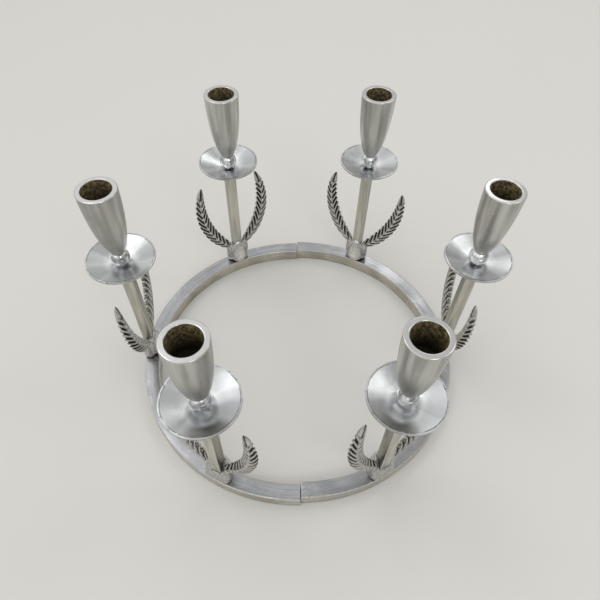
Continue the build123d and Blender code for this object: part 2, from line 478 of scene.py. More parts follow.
def build_handling_marks(name):
    """Fine scratches in two directions and small dents from years of handling."""
    tree, given = new_group(
        name,
        {"Position": (0, 0, 0), "Scratch scale": 55.0, "Dent scale": 90.0},
        {"Scratch": NUMBER, "Dent": NUMBER})
    layers = []
    for turn, stretch in ((0.6, (1, 9, 3)), (2.2, (8, 1, 3))):
        turned = place(
            tree, "ShaderNodeVectorRotate", {"rotation_type": "Z_AXIS"}, Vector=given["Position"], Angle=turn)
        stretched = vector_node(tree, "MULTIPLY", turned.outputs[0], stretch)
        wave = noise_node(tree, stretched, given["Scratch scale"], 4.0, 0.6)
        line = math_node(tree, "ABSOLUTE", math_node(tree, "SUBTRACT", wave, 0.5))
        layers.append(smooth_step(tree, line, 0.012, 0.0))
    both = math_node(tree, "MAXIMUM", *layers)
    broken = smooth_step(tree, noise_node(tree, given["Position"], 70.0, 1.0), 0.45, 0.65)
    dent = noise_node(tree, given["Position"], given["Dent scale"], 1.0, 0.4)
    place(tree, "NodeGroupOutput", None, times(tree, both, broken), dent)


def build_crevice_shade(name):
    """Painted shade where surfaces stand close to each other, taken from ambient occlusion."""
    tree, given = new_group(name, {"Reach": 2.5 * MM, "Amount": 1.0}, {"Grime": NUMBER})
    closed = place(tree, "ShaderNodeAmbientOcclusion", {"samples": 8}, Distance=given["Reach"]).outputs["AO"]
    darkening = smooth_step(tree, closed, 0.75, 0.30)
    place(tree, "NodeGroupOutput", None, times(tree, darkening, given["Amount"]))


def build_round_position(name):
    """Position turned into run round an axis, distance from it and height, for turned and bent pieces."""
    tree, given = new_group(
        name,
        {"Position": (0, 0, 0), "Axis": (0, 0, 0), "Radius": 1.0},
        {"Unrolled": VECTOR, "Distance": NUMBER, "Height": NUMBER})
    x, y, z = vector_parts(tree, vector_node(tree, "SUBTRACT", given["Position"], given["Axis"]))
    distance = vector_value(tree, "LENGTH", join_parts(tree, x, y, 0.0))
    run = times(tree, math_node(tree, "ARCTAN2", y, x), given["Radius"])
    place(tree, "NodeGroupOutput", None, join_parts(tree, run, distance, z), distance, z)


def build_reflection_bands(name):
    """Painted reflections: soft bands that run up and down a wall of brushed metal."""
    tree, given = new_group(
        name,
        {"Position": (0, 0, 0), "Stretch": (1, 1, 0.1), "Fineness": 190.0, "Detail": 2.0,
         "Low": 0.36, "High": 0.64},
        {"Band": NUMBER})
    stretched = vector_node(tree, "MULTIPLY", given["Position"], given["Stretch"])
    reflection_bands = noise_node(tree, stretched, given["Fineness"], given["Detail"])
    place(tree, "NodeGroupOutput", None, smooth_step(tree, reflection_bands, given["Low"], given["High"]))


def build_edge_highlight(name):
    """Painted highlight on the edge between two faces, strongest where the slant is halfway from the one to
    the other.
    """
    tree, given = new_group(name, {"Slant": 0.0, "Amount": 3.2}, {"Edge": NUMBER})
    both = times(tree, given["Slant"], math_node(tree, "SUBTRACT", 1.0, given["Slant"]))
    place(tree, "NodeGroupOutput", None, times(tree, both, given["Amount"]))


GROUPS = {
    "Satin grain": build_satin_grain,
    "Handling marks": build_handling_marks,
    "Crevice grime": build_crevice_shade,
    "Round position": build_round_position,
    "Upright bands": build_reflection_bands,
    "Worn edge": build_edge_highlight,
}


def use_group(tree, group, **named):
    """Places a shader node group, built at its first use, in a material and gives its outputs."""
    if group not in bpy.data.node_groups:
        GROUPS[group](group)
    return place(tree, "ShaderNodeGroup", {"node_tree": bpy.data.node_groups[group]}, **named).outputs


def new_material(name, metallic=1.0):
    """New material with a Principled shader, its tree and that shader."""
    material = bpy.data.materials.new(name)
    material.use_nodes = True
    tree = material.node_tree
    tree.nodes.clear()
    shader = place(tree, "ShaderNodeBsdfPrincipled", None, Metallic=metallic)
    place(tree, "ShaderNodeOutputMaterial", None, shader.outputs[0])
    return material, tree, shader


def finish(tree, shader, colour, rough, height, depth):
    """Gives a shader its colour, its roughness and a bump of a given depth."""
    tree.links.new(colour, shader.inputs["Base Color"])
    tree.links.new(rough, shader.inputs["Roughness"])
    bump = place(tree, "ShaderNodeBump", None, Strength=1.0, Distance=depth, Height=height)
    tree.links.new(bump.outputs[0], shader.inputs["Normal"])


def dress(names, material):
    """Gives CAD nodes a material in place of their own."""
    for name in names:
        slots = frame["nodes"][name].data.materials
        slots.clear()
        slots.append(material)


def bar_satin(colours):
    """Satin bar, rubbed along its length, with a few scratches and dull patches, a painted highlight along
    its edges, painted reflections that keep its top darker and bluer than its warm sides, and painted shade
    in its crevices.
    """
    material, tree, shader = new_material("Satin bar")
    ring_radius = (post_foot("left") - ring_centre("left")).length
    position = coordinates(tree, "Object")
    unrolled = use_group(tree, "Round position", Position=position, Radius=ring_radius)["Unrolled"]
    grain = use_group(
        tree, "Satin grain", Position=unrolled, Stretch=(0.03, 1, 1), Fineness=700.0, Patch_scale=38.0)
    marks = use_group(tree, "Handling marks", Position=unrolled, Scratch_scale=40.0)
    crevice_shade = use_group(tree, "Crevice grime", Reach=3.5 * MM, Amount=0.9)["Grime"]
    normal = place(tree, "ShaderNodeNewGeometry").outputs["Normal"]
    upward = math_node(tree, "ABSOLUTE", vector_parts(tree, normal)[2])
    # Painted reflection: the top and the sides get their own colours, mixed by how far a face looks up.
    top = shades(tree, grain["Patch"], colours.bar_top_metal_and_reflection, 0.88, 1.12)
    side = shades(tree, grain["Patch"], colours.bar_side_metal_and_reflection, 0.80, 1.08)
    tone = mix_colour(tree, smooth_step(tree, upward, 0.55, 0.85), side, top)
    dull = mix_colour(tree, 1.0, tone, colours.bar_dull, "MULTIPLY")
    tone = mix_colour(tree, smooth_step(tree, grain["Streak"], 0.40, 0.62), tone, dull)
    tone = mix_colour(tree, times(tree, marks["Scratch"], 0.5), tone, colours.bar_scratch)
    # Painted highlight where the rounded edges turn from the top to the sides.
    edge = use_group(tree, "Worn edge", Slant=smooth_step(tree, upward, 0.10, 0.98))["Edge"]
    tone = mix_colour(tree, edge, tone, colours.bar_edge_highlight)
    # Painted shade in the crevices and where the bar meets other parts.
    tone = mix_colour(tree, crevice_shade, tone, colours.patina_and_shade)
    rough = add_share(tree, 0.22, grain["Streak"], 0.16)
    rough = add_share(tree, rough, grain["Patch"], -0.06)
    rough = add_share(tree, rough, crevice_shade, 0.4)
    finish(tree, shader, tone, rough, grain["Streak"], 0.006 * MM)
    return material


def stem_satin(colours):
    """Satin stem, drawn lengthwise, with painted reflections in upright bands, a painted highlight at its
    corners, painted shade on the faces to the left and right, and painted shade in its crevices.
    """
    material, tree, shader = new_material("Satin stem")
    position = coordinates(tree, "Object")
    normal = coordinates(tree, "Normal")
    grain = use_group(
        tree, "Satin grain", Position=position, Stretch=(1, 1, 0.03), Fineness=1100.0, Patch_scale=70.0)
    marks = use_group(tree, "Handling marks", Position=position, Scratch_scale=70.0)
    crevice_shade = use_group(tree, "Crevice grime", Reach=4 * MM, Amount=0.85)["Grime"]
    # Painted reflections in soft upright bands.
    reflection_bands = use_group(
        tree, "Upright bands", Position=position, Stretch=(1, 1, 0.10), Fineness=190.0, Low=0.36, High=0.64)
    tone = shades(tree, reflection_bands["Band"], colours.stem_metal, 0.74, 1.18)
    tone = mix_colour(tree, times(tree, grain["Patch"], 0.3), tone, colours.stem_patch)
    tone = mix_colour(tree, times(tree, grain["Streak"], 0.30), tone, colours.stem_streak)
    # Painted shade on the faces that look left and right.
    sideways = math_node(tree, "ABSOLUTE", vector_parts(tree, normal)[0])
    dull = mix_colour(tree, 1.0, tone, colours.stem_side_shade, "MULTIPLY")
    tone = mix_colour(tree, smooth_step(tree, sideways, 0.52, 0.82), tone, dull)
    # Painted highlight on the rounded corners.
    outward = vector_node(tree, "NORMALIZE", vector_node(tree, "MULTIPLY", position, (1, 1, 0)))
    along = vector_value(tree, "DOT_PRODUCT", normal, outward)
    edge = use_group(tree, "Worn edge", Slant=times(tree, along, along))["Edge"]
    tone = mix_colour(tree, edge, tone, colours.stem_edge_highlight)
    # Painted shade in the crevices.
    tone = mix_colour(tree, crevice_shade, tone, colours.patina_and_shade)
    rough = add_share(tree, 0.24, grain["Streak"], 0.18)
    rough = add_share(tree, rough, crevice_shade, 0.4)
    height = add_share(tree, grain["Streak"], marks["Dent"], 1.5)
    finish(tree, shader, tone, rough, height, 0.04 * MM)
    return material


def pan_polish(colours):
    """Polished pan with painted reflections in brighter and darker sectors, painted light round the bead, a
    broken painted shade line where the lip begins, painted shade in its crevices, faint polishing rings,
    scratches, dents and nicks.
    """
    material, tree, shader = new_material("Polished pan")
    position = coordinates(tree, "Object")
    across = coordinates(tree, "Generated")
    low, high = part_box("drip_pan_left")
    width = high.y - low.y
    lip_start = 0.5 - PAN_LIP / width
    turned = use_group(tree, "Round position", Position=across, Axis=(0.5, 0.5, 0), Radius=0.5)
    distance = turned["Distance"]
    rings = noise_node(tree, vector_node(tree, "MULTIPLY", turned["Unrolled"], (0.15, width, 0)), 1500.0)
    grain = use_group(tree, "Satin grain", Position=position, Fineness=300.0, Patch_scale=75.0)
    marks = use_group(tree, "Handling marks", Position=position, Scratch_scale=60.0, Dent_scale=55.0)
    crevice_shade = use_group(tree, "Crevice grime", Reach=1.1 * MM, Amount=0.6)["Grime"]
    # Painted reflections: brighter and darker sectors round the middle, different on each pan.
    spoke = vector_node(tree, "MULTIPLY", vector_node(tree, "SUBTRACT", across, (0.5, 0.5, 0)), (1, 1, 0))
    own_place = vector_node(tree, "MULTIPLY", position, (9, 9, 0))
    turn = vector_node(tree, "ADD", vector_node(tree, "NORMALIZE", spoke), own_place)
    reflection_sector = smooth_step(tree, noise_node(tree, turn, 1.2, 1.0, 0.4), 0.36, 0.64)
    tone = shades(tree, reflection_sector, colours.pan_metal, 0.82, 1.14)
    # Painted light round the bead.
    painted_light_near_bead = times(tree, smooth_step(tree, distance, 0.30, 0.14), 0.65)
    tone = mix_colour(tree, painted_light_near_bead, tone, scale_colour(colours.pan_metal, 1.6))
    # Painted shade line where the lip begins, broken by noise.
    off_lip = math_node(tree, "ABSOLUTE", math_node(tree, "SUBTRACT", distance, lip_start))
    broken = smooth_step(tree, noise_node(tree, position, 160.0, 2.0, 0.6), 0.36, 0.56)
    line = times(tree, smooth_step(tree, off_lip, 0.010, 0.002), broken)
    tone = mix_colour(tree, line, tone, scale_colour(colours.pan_metal, 0.35))
    on_lip = smooth_step(tree, distance, lip_start, lip_start + 0.01)
    nick = smooth_step(tree, noise_node(tree, position, 520.0, 2.0, 0.6), 0.60, 0.68)
    tone = mix_colour(tree, times(tree, on_lip, nick), tone, scale_colour(colours.pan_metal, 0.30))
    tone = mix_colour(tree, times(tree, marks["Scratch"], 0.45), tone, colours.pan_scratch)
    # Painted shade in the crevices and under the bead.
    tone = mix_colour(tree, crevice_shade, tone, colours.patina_and_shade)
    rough = add_share(tree, 0.10, rings, 0.08)
    for value, share in ((grain["Patch"], 0.06), (marks["Scratch"], 0.12), (on_lip, 0.22), (crevice_shade, 0.4)):
        rough = add_share(tree, rough, value, share)
    height = add_share(tree, rings, marks["Dent"], 7.0)
    finish(tree, shader, tone, rough, height, 0.045 * MM)
    return material


def bead_polish(colours):
    """Mirror-polished bead with painted reflections in soft bands, painted shade where it stands close to
    other parts, and fine wiping marks.
    """
    material, tree, shader = new_material("Polished bead")
    position = coordinates(tree, "Object")
    grain = use_group(
        tree, "Satin grain", Position=position, Stretch=(1, 1, 0.5), Fineness=1500.0, Patch_scale=160.0)
    crevice_shade = use_group(tree, "Crevice grime", Reach=0.9 * MM, Amount=0.5)["Grime"]
    # Painted reflections in soft upright bands.
    reflection_bands = use_group(
        tree, "Upright bands", Position=position, Stretch=(1, 1, 0.15), Fineness=230.0, Detail=1.0,
        Low=0.40, High=0.60)
    tone = shades(tree, reflection_bands["Band"], colours.bead_metal, 0.60, 1.15)
    # Painted shade where the bead stands close to the pan and the cup.
    tone = mix_colour(tree, crevice_shade, tone, colours.patina_and_shade)
    rough = add_share(tree, 0.03, grain["Streak"], 0.08)
    rough = add_share(tree, rough, crevice_shade, 0.4)
    finish(tree, shader, tone, rough, grain["Patch"], 0.03 * MM)
    return material


def cup_satin(colours):
    """Brushed cup: satin wall with upright streaks and painted reflections in soft bands, bright turned rim,
    dark rough bore with painted shade deeper inside, and painted shade in its crevices.
    """
    material, tree, shader = new_material("Satin cup")
    position = coordinates(tree, "Object")
    across = coordinates(tree, "Generated")
    low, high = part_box("candle_cup_left")
    bore_mount = next(mount for mount in frame["record"]["mounts"] if mount["kind"] == "bore")
    bore_share = (bore_mount["dims"]["r_mm"] * MM + BORE_MARGIN) / (high.y - low.y)
    turned = use_group(tree, "Round position", Position=across, Axis=(0.5, 0.5, 0), Radius=0.5)
    inside = math_node(tree, "LESS_THAN", turned["Distance"], bore_share)
    bore = times(tree, inside, math_node(tree, "GREATER_THAN", turned["Height"], 0.5))
    rim = smooth_step(tree, turned["Height"], 0.982, 0.992)
    grain = use_group(
        tree, "Satin grain", Position=position, Stretch=(1, 1, 0.04), Fineness=900.0, Patch_scale=55.0)
    marks = use_group(tree, "Handling marks", Position=position, Scratch_scale=60.0)
    crevice_shade = use_group(tree, "Crevice grime", Reach=2.0 * MM, Amount=0.8)["Grime"]
    # Painted reflections in soft upright bands.
    reflection_bands = use_group(
        tree, "Upright bands", Position=position, Stretch=(1, 1, 0.06), Fineness=120.0, Low=0.38, High=0.60)
    crust = noise_node(tree, position, 420.0, 6.0, 0.65)
    tone = shades(tree, reflection_bands["Band"], colours.cup_metal, 0.62, 1.18)
    tone = mix_colour(tree, times(tree, grain["Patch"], 0.25), tone, colours.cup_metal)
    tone = mix_colour(tree, times(tree, grain["Streak"], 0.25), tone, colours.cup_streak)
    tone = mix_colour(tree, rim, tone, colours.cup_rim)
    tone = mix_colour(tree, times(tree, marks["Scratch"], 0.3), tone, colours.cup_scratch)
    # Painted shade in the crevices.
    tone = mix_colour(tree, crevice_shade, tone, colours.patina_and_shade)
    crust_and_shade = shades(tree, smooth_step(tree, crust, 0.38, 0.66), colours.bore_crust, 0.25, 1.7)
    # Painted shade: the crust of the bore grows much darker deeper inside, away from its mouth.
    unshaded_near_mouth = smooth_step(tree, turned["Height"], 0.55, 1.02)
    crust_and_shade = mix_colour(tree, unshaded_near_mouth, scale_colour(colours.bore_crust, 0.12), crust_and_shade)
    tone = mix_colour(tree, bore, tone, crust_and_shade)
    rough = add_share(tree, 0.24, grain["Streak"], 0.16)
    rough = add_share(tree, rough, rim, -0.17)
    rough = place(tree, "ShaderNodeMix", {"data_type": "FLOAT"}, bore, None, rough, 0.72).outputs[0]
    tree.links.new(add_share(tree, 1.0, bore, -0.8), shader.inputs["Metallic"])
    height = add_share(tree, grain["Streak"], marks["Dent"], 2.0)
    height = add_share(tree, height, times(tree, crust, bore), 22.0)
    finish(tree, shader, tone, rough, height, 0.04 * MM)
    return material


def cast_skin(colours):
    """Cast foot: rubbed bright ridges, near-black film in the grooves with painted shade in the crevices,
    grainy skin on the hub, and a smoother dome with a painted highlight at its middle.
    """
    material, tree, shader = new_material("Cast foot")
    position = coordinates(tree, "Object")
    hub_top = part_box("half_ring_left")[1].z + HUB_TOP
    # Share of the smooth dome, which is rubbed smoother and gets a painted highlight.
    rubbed = attribute(tree, "rubbed")
    skin = noise_node(tree, position, 520.0, 5.0, 0.62)
    patch = noise_node(tree, position, 130.0, 3.0, 0.55)
    crevice_shade = use_group(tree, "Crevice grime", Reach=2.6 * MM, Amount=0.9)["Grime"]
    worn = smooth_step(tree, noise_node(tree, position, 42.0, 1.0), 0.46, 0.66)
    uneven = add_share(tree, attribute(tree, "groove"), math_node(tree, "SUBTRACT", patch, 0.5), 0.35)
    uneven = add_share(tree, uneven, worn, -0.09)
    stain = smooth_step(tree, uneven, 0.27, 0.50)
    # Near-black patina film in the grooves, with the painted shade of the crevices laid over it.
    darkening = math_node(tree, "MAXIMUM", smooth_step(tree, uneven, 0.43, 0.66), crevice_shade)
    tone = shades(tree, smooth_step(tree, skin, 0.35, 0.65), colours.cast_metal, 0.78, 1.08)
    on_hub = smooth_step(tree, vector_parts(tree, position)[2], hub_top + HUB_FADE, hub_top - HUB_FADE)
    tone = mix_colour(tree, times(tree, on_hub, 0.35), tone, scale_colour(colours.cast_metal, 0.55))
    # Painted highlight on the smooth dome, brightest at its middle.
    mottle = smooth_step(tree, noise_node(tree, position, 330.0, 3.0, 0.6), 0.36, 0.62)
    polish = shades(tree, mottle, colours.cast_metal, 1.05, 1.5)
    tone = mix_colour(tree, math_node(tree, "POWER", rubbed, 1.6), tone, polish)
    tone = mix_colour(tree, times(tree, stain, 0.8), tone, colours.stain)
    tone = mix_colour(tree, darkening, tone, colours.patina_and_shade)
    rough = add_share(tree, 0.18, skin, 0.2)
    rough = add_share(tree, rough, rubbed, -0.10)
    rough = add_share(tree, rough, darkening, 0.35)
    tree.links.new(add_share(tree, 1.0, darkening, -0.6), shader.inputs["Metallic"])
    height = times(tree, skin, add_share(tree, 0.25, on_hub, 0.75))
    finish(tree, shader, tone, rough, height, 0.18 * MM)
    return material


def screw_steel(colours):
    """Plain steel of the hidden studs and screws."""
    material, tree, shader = new_material("Screw steel")
    position = coordinates(tree, "Object")
    grain = use_group(tree, "Satin grain", Position=position, Fineness=1200.0, Patch_scale=220.0)
    crevice_shade = use_group(tree, "Crevice grime", Reach=1.5 * MM, Amount=0.9)["Grime"]
    tone = shades(tree, grain["Patch"], colours.screw_steel, 0.8, 1.1)
    # Painted shade in the crevices.
    tone = mix_colour(tree, crevice_shade, tone, colours.patina_and_shade)
    rough = add_share(tree, 0.25, grain["Streak"], 0.25)
    finish(tree, shader, tone, rough, grain["Streak"], 0.03 * MM)
    return material


def floor_matte(colours):
    """Pale matte floor with a barely seen unevenness."""
    material, tree, shader = new_material("Pale floor", metallic=0.0)
    patch = noise_node(tree, coordinates(tree, "Object"), 3.0, 3.0)
    tree.links.new(shades(tree, patch, colours.floor, 0.985, 1.015), shader.inputs["Base Color"])
    shader.inputs["Roughness"].default_value = 0.9
    shader.inputs["Specular IOR Level"].default_value = 0.2
    return material


def spray_place(sizes, bar_top, run):
    """Point of a spray's rib after a run, and its heading, in the upright plane along the ring."""
    start = sizes.spray_slope
    turn = start + run / sizes.spray_bend
    along = sizes.spray_reach + sizes.spray_bend * (math.sin(turn) - math.sin(start))
    height = bar_top + sizes.spray_rise + sizes.spray_bend * (math.cos(start) - math.cos(turn))
    return along, height, turn


def spray_fullness(share):
    """Share of the full section along a spray: quick at the root, fullest at a third, then to a point."""
    full_at = 0.36
    root_loss = 0.42
    bluntness = 0.54
    if share < full_at:
        return 1 - root_loss * ((full_at - share) / full_at) ** 3
    return (1 - ((share - full_at) / (1 - full_at)) ** 2) ** bluntness


def groove_share(sizes, run, across, rib_fill=1.0):
    """How far a point lies from its leaflet's crest: 0 on the crest or a filled rib, 1 deep in a groove."""
    phase = (run - abs(across) / math.tan(sizes.leaf_angle)) / sizes.leaf_pitch
    off_crest = abs(2 * (phase - math.floor(phase)) - 1)
    on_rib = rib_fill * math.exp(-((across / sizes.rib_width) ** 2))
    blade = share_of((run - abs(across) - sizes.spray_length + sizes.blade_length) / BLADE_FADE)
    crease = BLADE_FILM + BLADE_CREASE * math.exp(-((across / CREASE_WIDTH) ** 2))
    return off_crest * (1 - on_rib) * (1 - blade) + crease * blade


def groove_dip(share):
    """Share of the full depth of a groove, with rounded crests and a rounded bottom."""
    crest = 0.25
    slope = 0.6
    part = share_of((share - crest) / slope)
    return part * part * (3 - 2 * part)


def tip_bend(sizes, bend, run):
    """How far a bent spray stands from its drawn place after a run along its rib."""
    share = max(0.0, run) / sizes.spray_length
    return Vector(bend) * (MM * share * share)


def spray_section(sizes, run, full, angle):
    """Point of a spray's section at an angle round it: across its rib, and through its body."""
    tip_thickness = 0.6
    lens_bulge = 0.8
    rib_fill = 0.35
    rib_drop = 0.15
    rib_spread = 2.5
    deepest = 0.75
    notch = 0.36
    cosine = math.cos(angle)
    sine = math.sin(angle)
    across = full * sizes.spray_width / 2 * cosine
    bulge = math.copysign(abs(sine) ** lens_bulge, sine)
    through = full ** tip_thickness * sizes.spray_thick / 2 * bulge
    dip = groove_dip(groove_share(sizes, run, across, rib_fill)) if run > 0 else 0.0
    low_rib = rib_drop * math.exp(-((across / (rib_spread * sizes.rib_width)) ** 2))
    drop = min(sizes.groove_depth * max(dip, low_rib), abs(through) * deepest)
    through -= math.copysign(drop, through)
    across *= 1 - notch * dip * abs(cosine) ** 4
    return across, through


def spray_mesh(sizes, bar_top, side, bend):
    """One spray in the post's frame: a lens-shaped body with its leaflets raised in a herringbone."""
    almost_tip = 0.9995
    builder = bmesh.new()
    rows = []
    for step in range(RIB_STEPS + 1):
        run = (sizes.spray_length + ROOT_RUN) * (step / RIB_STEPS) - ROOT_RUN
        full = spray_fullness(min(max(0.0, run) / sizes.spray_length, almost_tip))
        along, height, turn = spray_place(sizes, bar_top, max(0.0, run))
        if run < 0:
            full *= 1 + ROOT_TAPER * (run / ROOT_RUN)
            along += run * ROOT_LEAN
            height += run
        shift = tip_bend(sizes, bend, run)
        row = []
        for index in range(ROUND_STEPS):
            across, through = spray_section(sizes, run, full, 2 * math.pi * index / ROUND_STEPS)
            row.append(builder.verts.new((
                through + shift.x,
                side * (along - across * math.sin(turn) + shift.y),
                height + across * math.cos(turn) + shift.z,
            )))
        rows.append(row)
    for low, high in zip(rows, rows[1:]):
        for index in range(ROUND_STEPS):
            following = (index + 1) % ROUND_STEPS
            builder.faces.new((low[index], low[following], high[following], high[index]))
    builder.faces.new(rows[0])
    builder.faces.new(rows[-1])
    bmesh.ops.recalc_face_normals(builder, faces=builder.faces)
    return settled_mesh(builder, "spray")


def settled_mesh(builder, name):
    """Mesh of what a builder has made, which is then let go."""
    mesh = bpy.data.meshes.new(name)
    builder.to_mesh(mesh)
    builder.free()
    return mesh


def add_egg(builder, centre, radii, below):
    """Adds an egg of given half sizes to a mesh, with its own reach below the middle."""
    made = bmesh.ops.create_icosphere(builder, subdivisions=4, radius=1)
    for vert in made["verts"]:
        up = radii[2] if vert.co.z > 0 else below
        vert.co = Vector(centre) + Vector((vert.co.x * radii[0], vert.co.y * radii[1], vert.co.z * up))


def add_lump(builder, bar_top, lump, side=1):
    """Adds one of the hub's lumps to a mesh, on one side of the stem."""
    (out, along, up), half_sizes, below = lump
    centre = (out * MM, side * along * MM, bar_top + up * MM)
    add_egg(builder, centre, [half * MM for half in half_sizes], below * MM)


def add_horn(builder, sizes, bar_top, side):
    """Adds the horn that rises from the hub to a spray, as a row of lumps that grow smaller."""
    along, height, _ = spray_place(sizes, bar_top, 0.0)
    base = bar_top + HORN_BASE
    for step in range(HORN_STEPS + 1):
        share = step / HORN_STEPS
        centre = (0, side * (HORN_FOOT + (along - HORN_FOOT) * share), base + (height - base) * share)
        radius = (HORN_RADII[0] + (HORN_RADII[1] - HORN_RADII[0]) * share) * MM
        tall = radius * HORN_STRETCH
        add_egg(builder, centre, (radius, radius, tall), tall)


def hub_mesh(sizes, bar_top):
    """Lump of the casting in the post's frame: a low collar round the stem, a dome inside, two horns."""
    builder = bmesh.new()
    add_lump(builder, bar_top, COLLAR)
    for side in (-1, 1):
        add_lump(builder, bar_top, SHOULDER, side)
        add_horn(builder, sizes, bar_top, side)
    add_lump(builder, bar_top, DOME)
    return settled_mesh(builder, "hub")


def box_mesh(low, high):
    """Plain box between two corners, used only to cut with."""
    builder = bmesh.new()
    middle = (Vector(low) + Vector(high)) / 2
    size = Vector(high) - Vector(low)
    matrix = Matrix.Translation(middle) @ Matrix.Diagonal((*size, 1))
    bmesh.ops.create_cube(builder, size=1, matrix=matrix)
    return settled_mesh(builder, "cutter")


def linked(name, data):
    """New object in the scene."""
    obj = bpy.data.objects.new(name, data)
    bpy.context.scene.collection.objects.link(obj)
    return obj


def settle(obj):
    """Applies the modifiers of an object to its mesh."""
    bpy.context.view_layer.update()
    graph = bpy.context.evaluated_depsgraph_get()
    mesh = bpy.data.meshes.new_from_object(obj.evaluated_get(graph))
    obj.modifiers.clear()
    old = obj.data
    obj.data = mesh
    bpy.data.meshes.remove(old)


def combine(obj, name, mesh, operation):
    """Joins another closed mesh to an object, or cuts it away."""
    other = linked(name, mesh)
    modifier = obj.modifiers.new("combine", "BOOLEAN")
    modifier.operation = operation
    modifier.solver = "EXACT"
    modifier.object = other
    settle(obj)
    bpy.data.objects.remove(other)
    bpy.data.meshes.remove(mesh)


def clean_seams(mesh):
    """Takes out the points of the seams that lie between two edges only, which would leave slivers."""
    builder = bmesh.new()
    builder.from_mesh(mesh)
    spare = [vert for vert in builder.verts if len(vert.link_edges) == 2]
    bmesh.ops.dissolve_verts(builder, verts=spare)
    builder.to_mesh(mesh)
    builder.free()


def groove_at(sizes, bar_top, point, bends):
    """Place in the herringbone of a point of the casting, by its place on the nearer spray."""
    start = sizes.spray_slope
    centre_along = sizes.spray_reach - sizes.spray_bend * math.sin(start)
    centre_height = bar_top + sizes.spray_rise + sizes.spray_bend * math.cos(start)
    bend = bends[0] if point.y < 0 else bends[1]
    rounds_to_unbend = 4
    run = 0.0
    for _ in range(rounds_to_unbend):
        shift = tip_bend(sizes, bend, run)
        along = abs(point.y) - shift.y - centre_along
        height = centre_height - point.z + shift.z
        run = (math.atan2(along, height) - start) * sizes.spray_bend
    across = sizes.spray_bend - math.hypot(along, height)
    if run <= 0 or run > sizes.spray_length or abs(across) > sizes.spray_width:
        return 0.0
    return groove_share(sizes, run, across)


def hub_shape(sizes, bar_top):
    """The lump of the casting under one smooth skin."""
    hub = linked("hub", hub_mesh(sizes, bar_top))
    skin = hub.modifiers.new("skin", "REMESH")
    skin.mode = "VOXEL"
    skin.voxel_size = sizes.skin_step
    soften = hub.modifiers.new("soften", "SMOOTH")
    soften.factor = 0.5
    soften.iterations = 30
    settle(hub)
    mesh = hub.data
    bpy.data.objects.remove(hub)
    return mesh


def foot_shape(sizes, bar_top, stem_box, hub_skin, bends):
    """The whole casting of one post as one closed mesh in the post's frame."""
    foot = linked("foot", hub_skin.copy())
    for side, bend in zip((-1, 1), bends):
        combine(foot, "spray", spray_mesh(sizes, bar_top, side, bend), "UNION")
    reach = 50 * MM
    table = box_mesh((-reach, -reach, bar_top - reach), (reach, reach, bar_top))
    combine(foot, "table", table, "DIFFERENCE")
    stem_low, stem_high = stem_box
    half = (stem_high.x - stem_low.x) / 2 + SOCKET_GAP
    socket = box_mesh((-half, -half, stem_low.z), (half, half, SOCKET_TOP))
    combine(foot, "socket", socket, "DIFFERENCE")
    mesh = foot.data
    bpy.data.objects.remove(foot)
    clean_seams(mesh)
    return mesh


def dome_polish_and_highlight(bar_top, point):
    """How far a point of the casting belongs to the smooth dome on the inner side, which is rubbed smoother
    and carries a painted highlight, strongest at its middle.
    """
    inner = share_of((DOME_START - point.x) / DOME_FADE)
    across = point.y / DOME_WIDTH
    up = (point.z - bar_top - DOME_MIDDLE) / DOME_HEIGHT
    return inner * math.exp(-(across ** 2 + up ** 2))


def rough_skin(sizes, bar_top, mesh, seed):
    """Uneven cast skin: pitted on the outer side of the hub, nearly smooth on the dome."""
    normals = [vert.normal.copy() for vert in mesh.vertices]
    shift = Vector((seed * 0.37, seed * 0.71, seed * 0.53))
    for vert, normal in zip(mesh.vertices, normals):
        point = vert.co
        on_hub = share_of((bar_top + SKIN_TOP - point.z) / SKIN_FADE)
        seated = share_of((point.z - bar_top) / SKIN_SEAT)
        outside = max(DOME_SKIN, share_of((point.x - SKIN_INNER) / SKIN_SPREAD))
        lump = noise.noise(point / LARGE_LUMP + shift) + SMALL_SHARE * noise.noise(point / SMALL_LUMP + shift)
        vert.co = point + normal * (sizes.pit_depth * on_hub * seated * outside * lump)


def keep_values(mesh, name, values):
    """Keeps a value at each point of a mesh under a name."""
    mesh.attributes.new(name, "FLOAT", "POINT").data.foreach_set("value", values)


class CANDLE_RING_OT_bars(bpy.types.Operator):
    """Give the two half rings their satin finish"""

    bl_idname = "candle_ring.bars"
    bl_label = "Half rings"

    def execute(self, context):
        dress(["half_ring_left", "half_ring_right"], bar_satin(context.scene.candle_ring_finish))
        return {"FINISHED"}


class CANDLE_RING_OT_stems(bpy.types.Operator):
    """Give the six stems their satin finish"""

    bl_idname = "candle_ring.stems"
    bl_label = "Stems"

    def execute(self, context):
        dress(node_names("stem"), stem_satin(context.scene.candle_ring_finish))
        return {"FINISHED"}


class CANDLE_RING_OT_pans(bpy.types.Operator):
    """Give the six drip pans their polish"""

    bl_idname = "candle_ring.pans"
    bl_label = "Drip pans"

    def execute(self, context):
        dress(node_names("drip_pan"), pan_polish(context.scene.candle_ring_finish))
        return {"FINISHED"}


class CANDLE_RING_OT_beads(bpy.types.Operator):
    """Give the six beads their mirror polish"""

    bl_idname = "candle_ring.beads"
    bl_label = "Beads"

    def execute(self, context):
        dress(node_names("bead"), bead_polish(context.scene.candle_ring_finish))
        return {"FINISHED"}


class CANDLE_RING_OT_cups(bpy.types.Operator):
    """Give the six candle cups their brushed wall and dark bore"""

    bl_idname = "candle_ring.cups"
    bl_label = "Candle cups"

    def execute(self, context):
        dress(node_names("candle_cup"), cup_satin(context.scene.candle_ring_finish))
        return {"FINISHED"}


